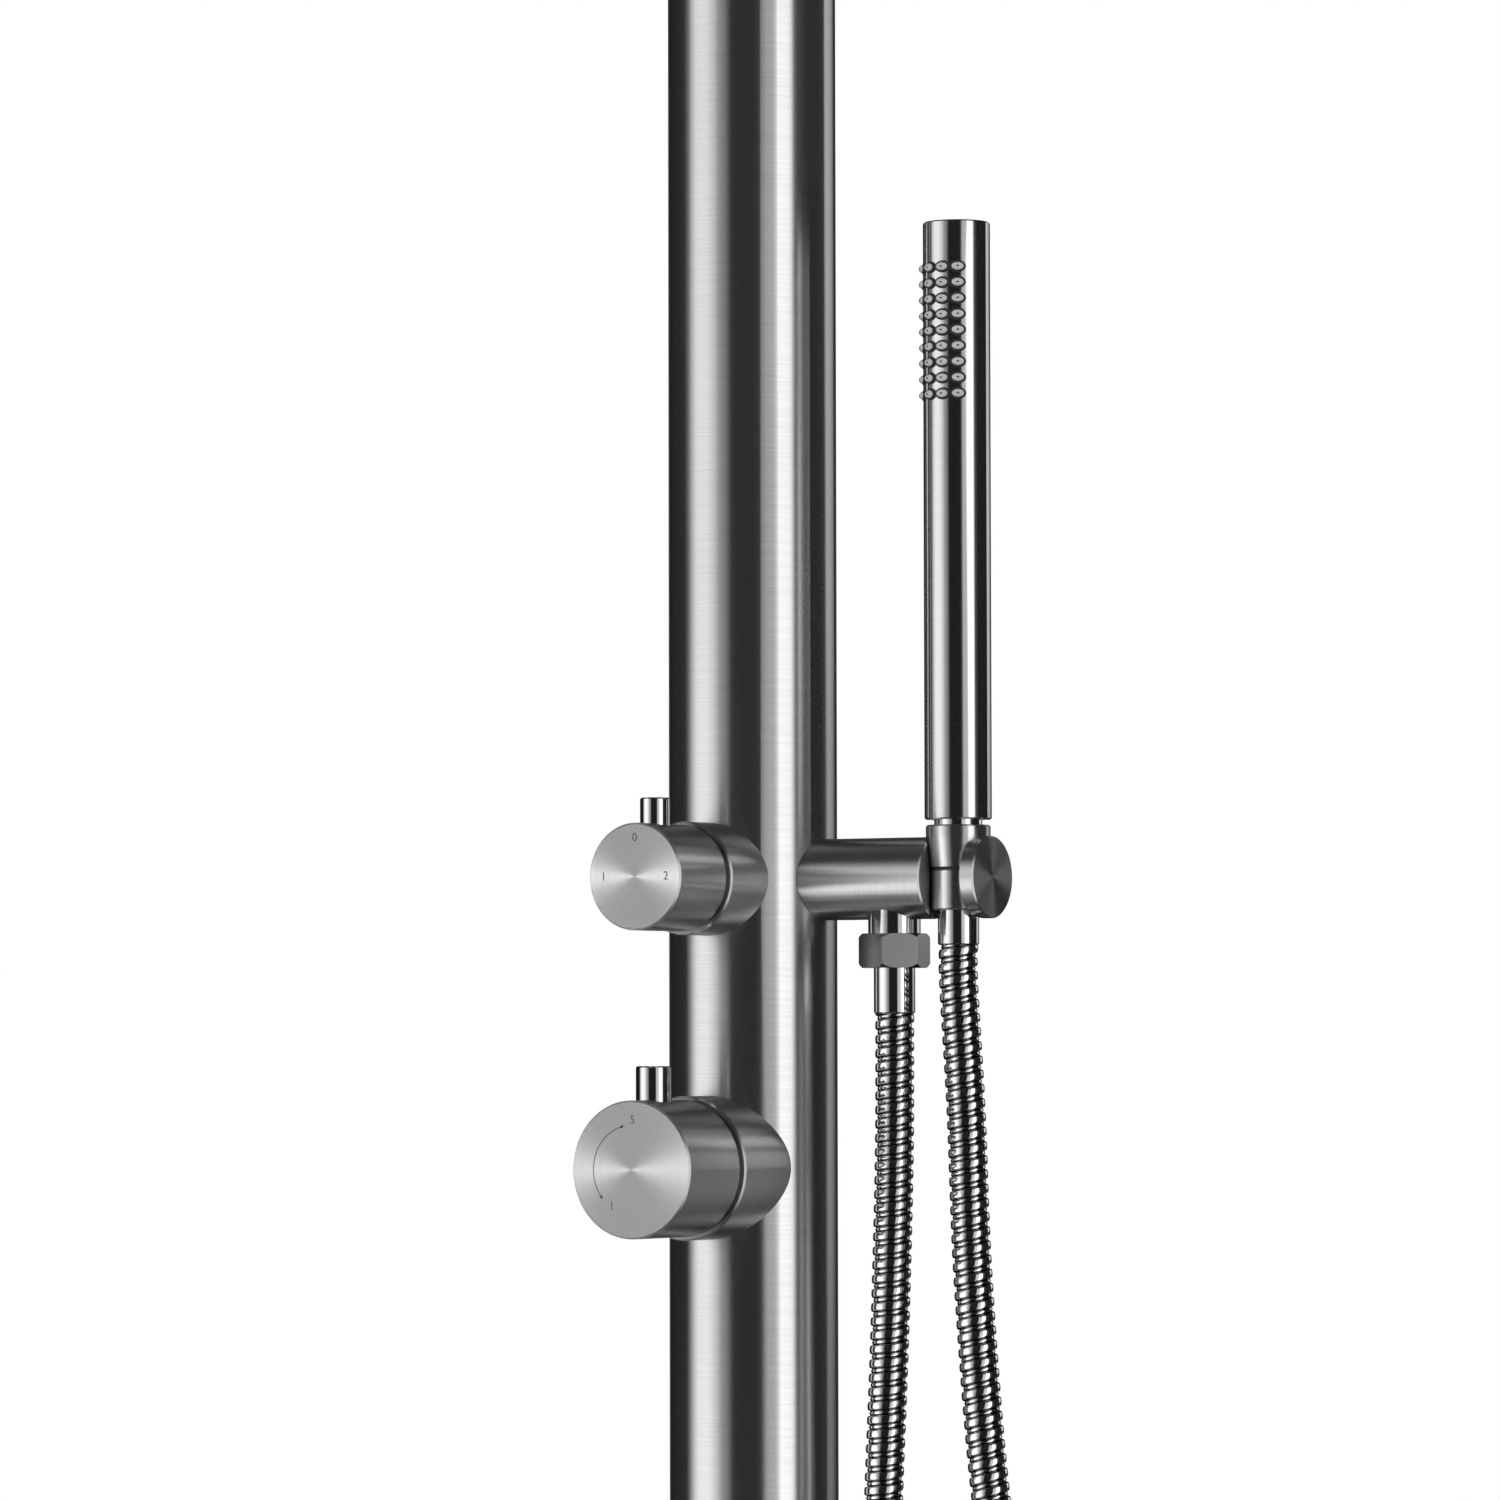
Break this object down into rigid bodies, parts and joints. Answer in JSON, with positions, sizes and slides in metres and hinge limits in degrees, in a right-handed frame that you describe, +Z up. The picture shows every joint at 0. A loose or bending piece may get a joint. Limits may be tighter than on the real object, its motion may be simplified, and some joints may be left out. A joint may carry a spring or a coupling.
{
  "type": "outdoor shower post",
  "caption": "Free-standing tubular shower post with a mixer knob, a diverter knob, a hand shower on a metal hose in a side holder and a round rain head.",
  "frame": {"origin": "on the floor, at the post's axis, the centre of the anchor holes' circle on the base plate's underside", "axes": "+Z up along the post; the controls and the rain head face -Y; the side arm with the hand shower points to +X"},
  "size_m": [0.2832, 0.5618, 2.154],
  "materials": {
    "brushed_steel": "stainless steel, brushed round the tube",
    "turned_steel": "stainless steel with fine lathe marks",
    "polished_steel": "stainless steel, finely polished",
    "hose_metal": "bright interlocked metal strip",
    "dull_steel": "stainless steel, unfinished",
    "brass": "cast and drawn brass",
    "black_rubber": "matt black",
    "white_plastic": "moulded",
    "grey_silicone": "translucent grey silicone"
  },
  "bodies": {
    "post": {"base_plate": "dull_steel", "base_spigot": "dull_steel", "base_screws": "dull_steel", "base_cover": "brushed_steel", "cover_seal": "black_rubber", "hot_inlet": "brass", "cold_inlet": "brass", "hot_supply_pipe": "brass", "cold_supply_pipe": "brass", "post_tube": "brushed_steel", "post_cap": "turned_steel", "cap_seal": "black_rubber", "mixer_body": "brass", "mixer_sleeve": "turned_steel", "mixer_cartridge": "white_plastic", "mixer_cartridge_nut": "brass", "link_pipe": "brass", "diverter_body": "brass", "diverter_sleeve": "turned_steel", "diverter_cartridge": "white_plastic", "diverter_cartridge_nut": "brass", "riser_pipe": "brass", "riser_elbow": "brass", "overhead_nipple": "dull_steel", "overhead_arm": "turned_steel", "head_stub": "turned_steel", "head_ball": "polished_steel", "side_nipple": "dull_steel", "side_arm": "turned_steel", "outlet_stub": "turned_steel", "check_valve": "white_plastic", "hose_nut": "polished_steel", "hose_washer": "black_rubber", "lower_ferrule": "polished_steel", "shower_hose": "hose_metal"},
    "mixer_handle": {"mixer_spindle": "dull_steel", "mixer_knob": "turned_steel", "mixer_pin": "turned_steel", "mixer_knob_screw": "dull_steel"},
    "diverter_handle": {"diverter_spindle": "dull_steel", "diverter_knob": "turned_steel", "diverter_pin": "turned_steel", "diverter_knob_screw": "dull_steel"},
    "hose_end": {"upper_ferrule": "polished_steel", "swivel_sleeve": "polished_steel", "swivel_ring": "black_rubber"},
    "hand_shower": {"cone_nut": "polished_steel", "cone_washer": "black_rubber", "wand_neck": "polished_steel", "wand_tube": "polished_steel", "wand_core": "white_plastic", "wand_nozzles": "grey_silicone", "wand_cap": "polished_steel"},
    "head_cradle": {"ball_liner": "white_plastic"},
    "rain_head": {"ball_nut": "turned_steel", "rain_head_cover": "brushed_steel", "rain_head_plate": "brushed_steel", "rain_head_nozzles": "grey_silicone"}
  },
  "joints": [
    {"name": "mixer_turn", "type": "hinge", "parent": "post", "child": "mixer_handle", "pos_m": [0, -0.065, 1], "axis": [0, -1, 0], "range_deg": [0, 140]},
    {"name": "diverter_turn", "type": "hinge", "parent": "post", "child": "diverter_handle", "pos_m": [0, -0.064, 1.1015], "axis": [0, -1, 0], "range_deg": [-90, 90]},
    {"name": "hand_shower_lift", "type": "slide", "parent": "post", "child": "hose_end", "axis": [0, 0, 1], "range_m": [0, 0.08], "deforming": ["shower_hose"]},
    {"name": "hand_shower_turn", "type": "hinge", "parent": "hose_end", "child": "hand_shower", "pos_m": [0.0839, 0, 1.1015], "axis": [0, 0, 1], "continuous": true},
    {"name": "head_tilt_x", "type": "hinge", "parent": "post", "child": "head_cradle", "pos_m": [0, -0.33, 2.04295], "axis": [1, 0, 0], "range_deg": [-10, 10]},
    {"name": "head_tilt_y", "type": "hinge", "parent": "head_cradle", "child": "rain_head", "pos_m": [0, -0.33, 2.04295], "axis": [0, 1, 0], "range_deg": [-10, 10]}
  ]
}
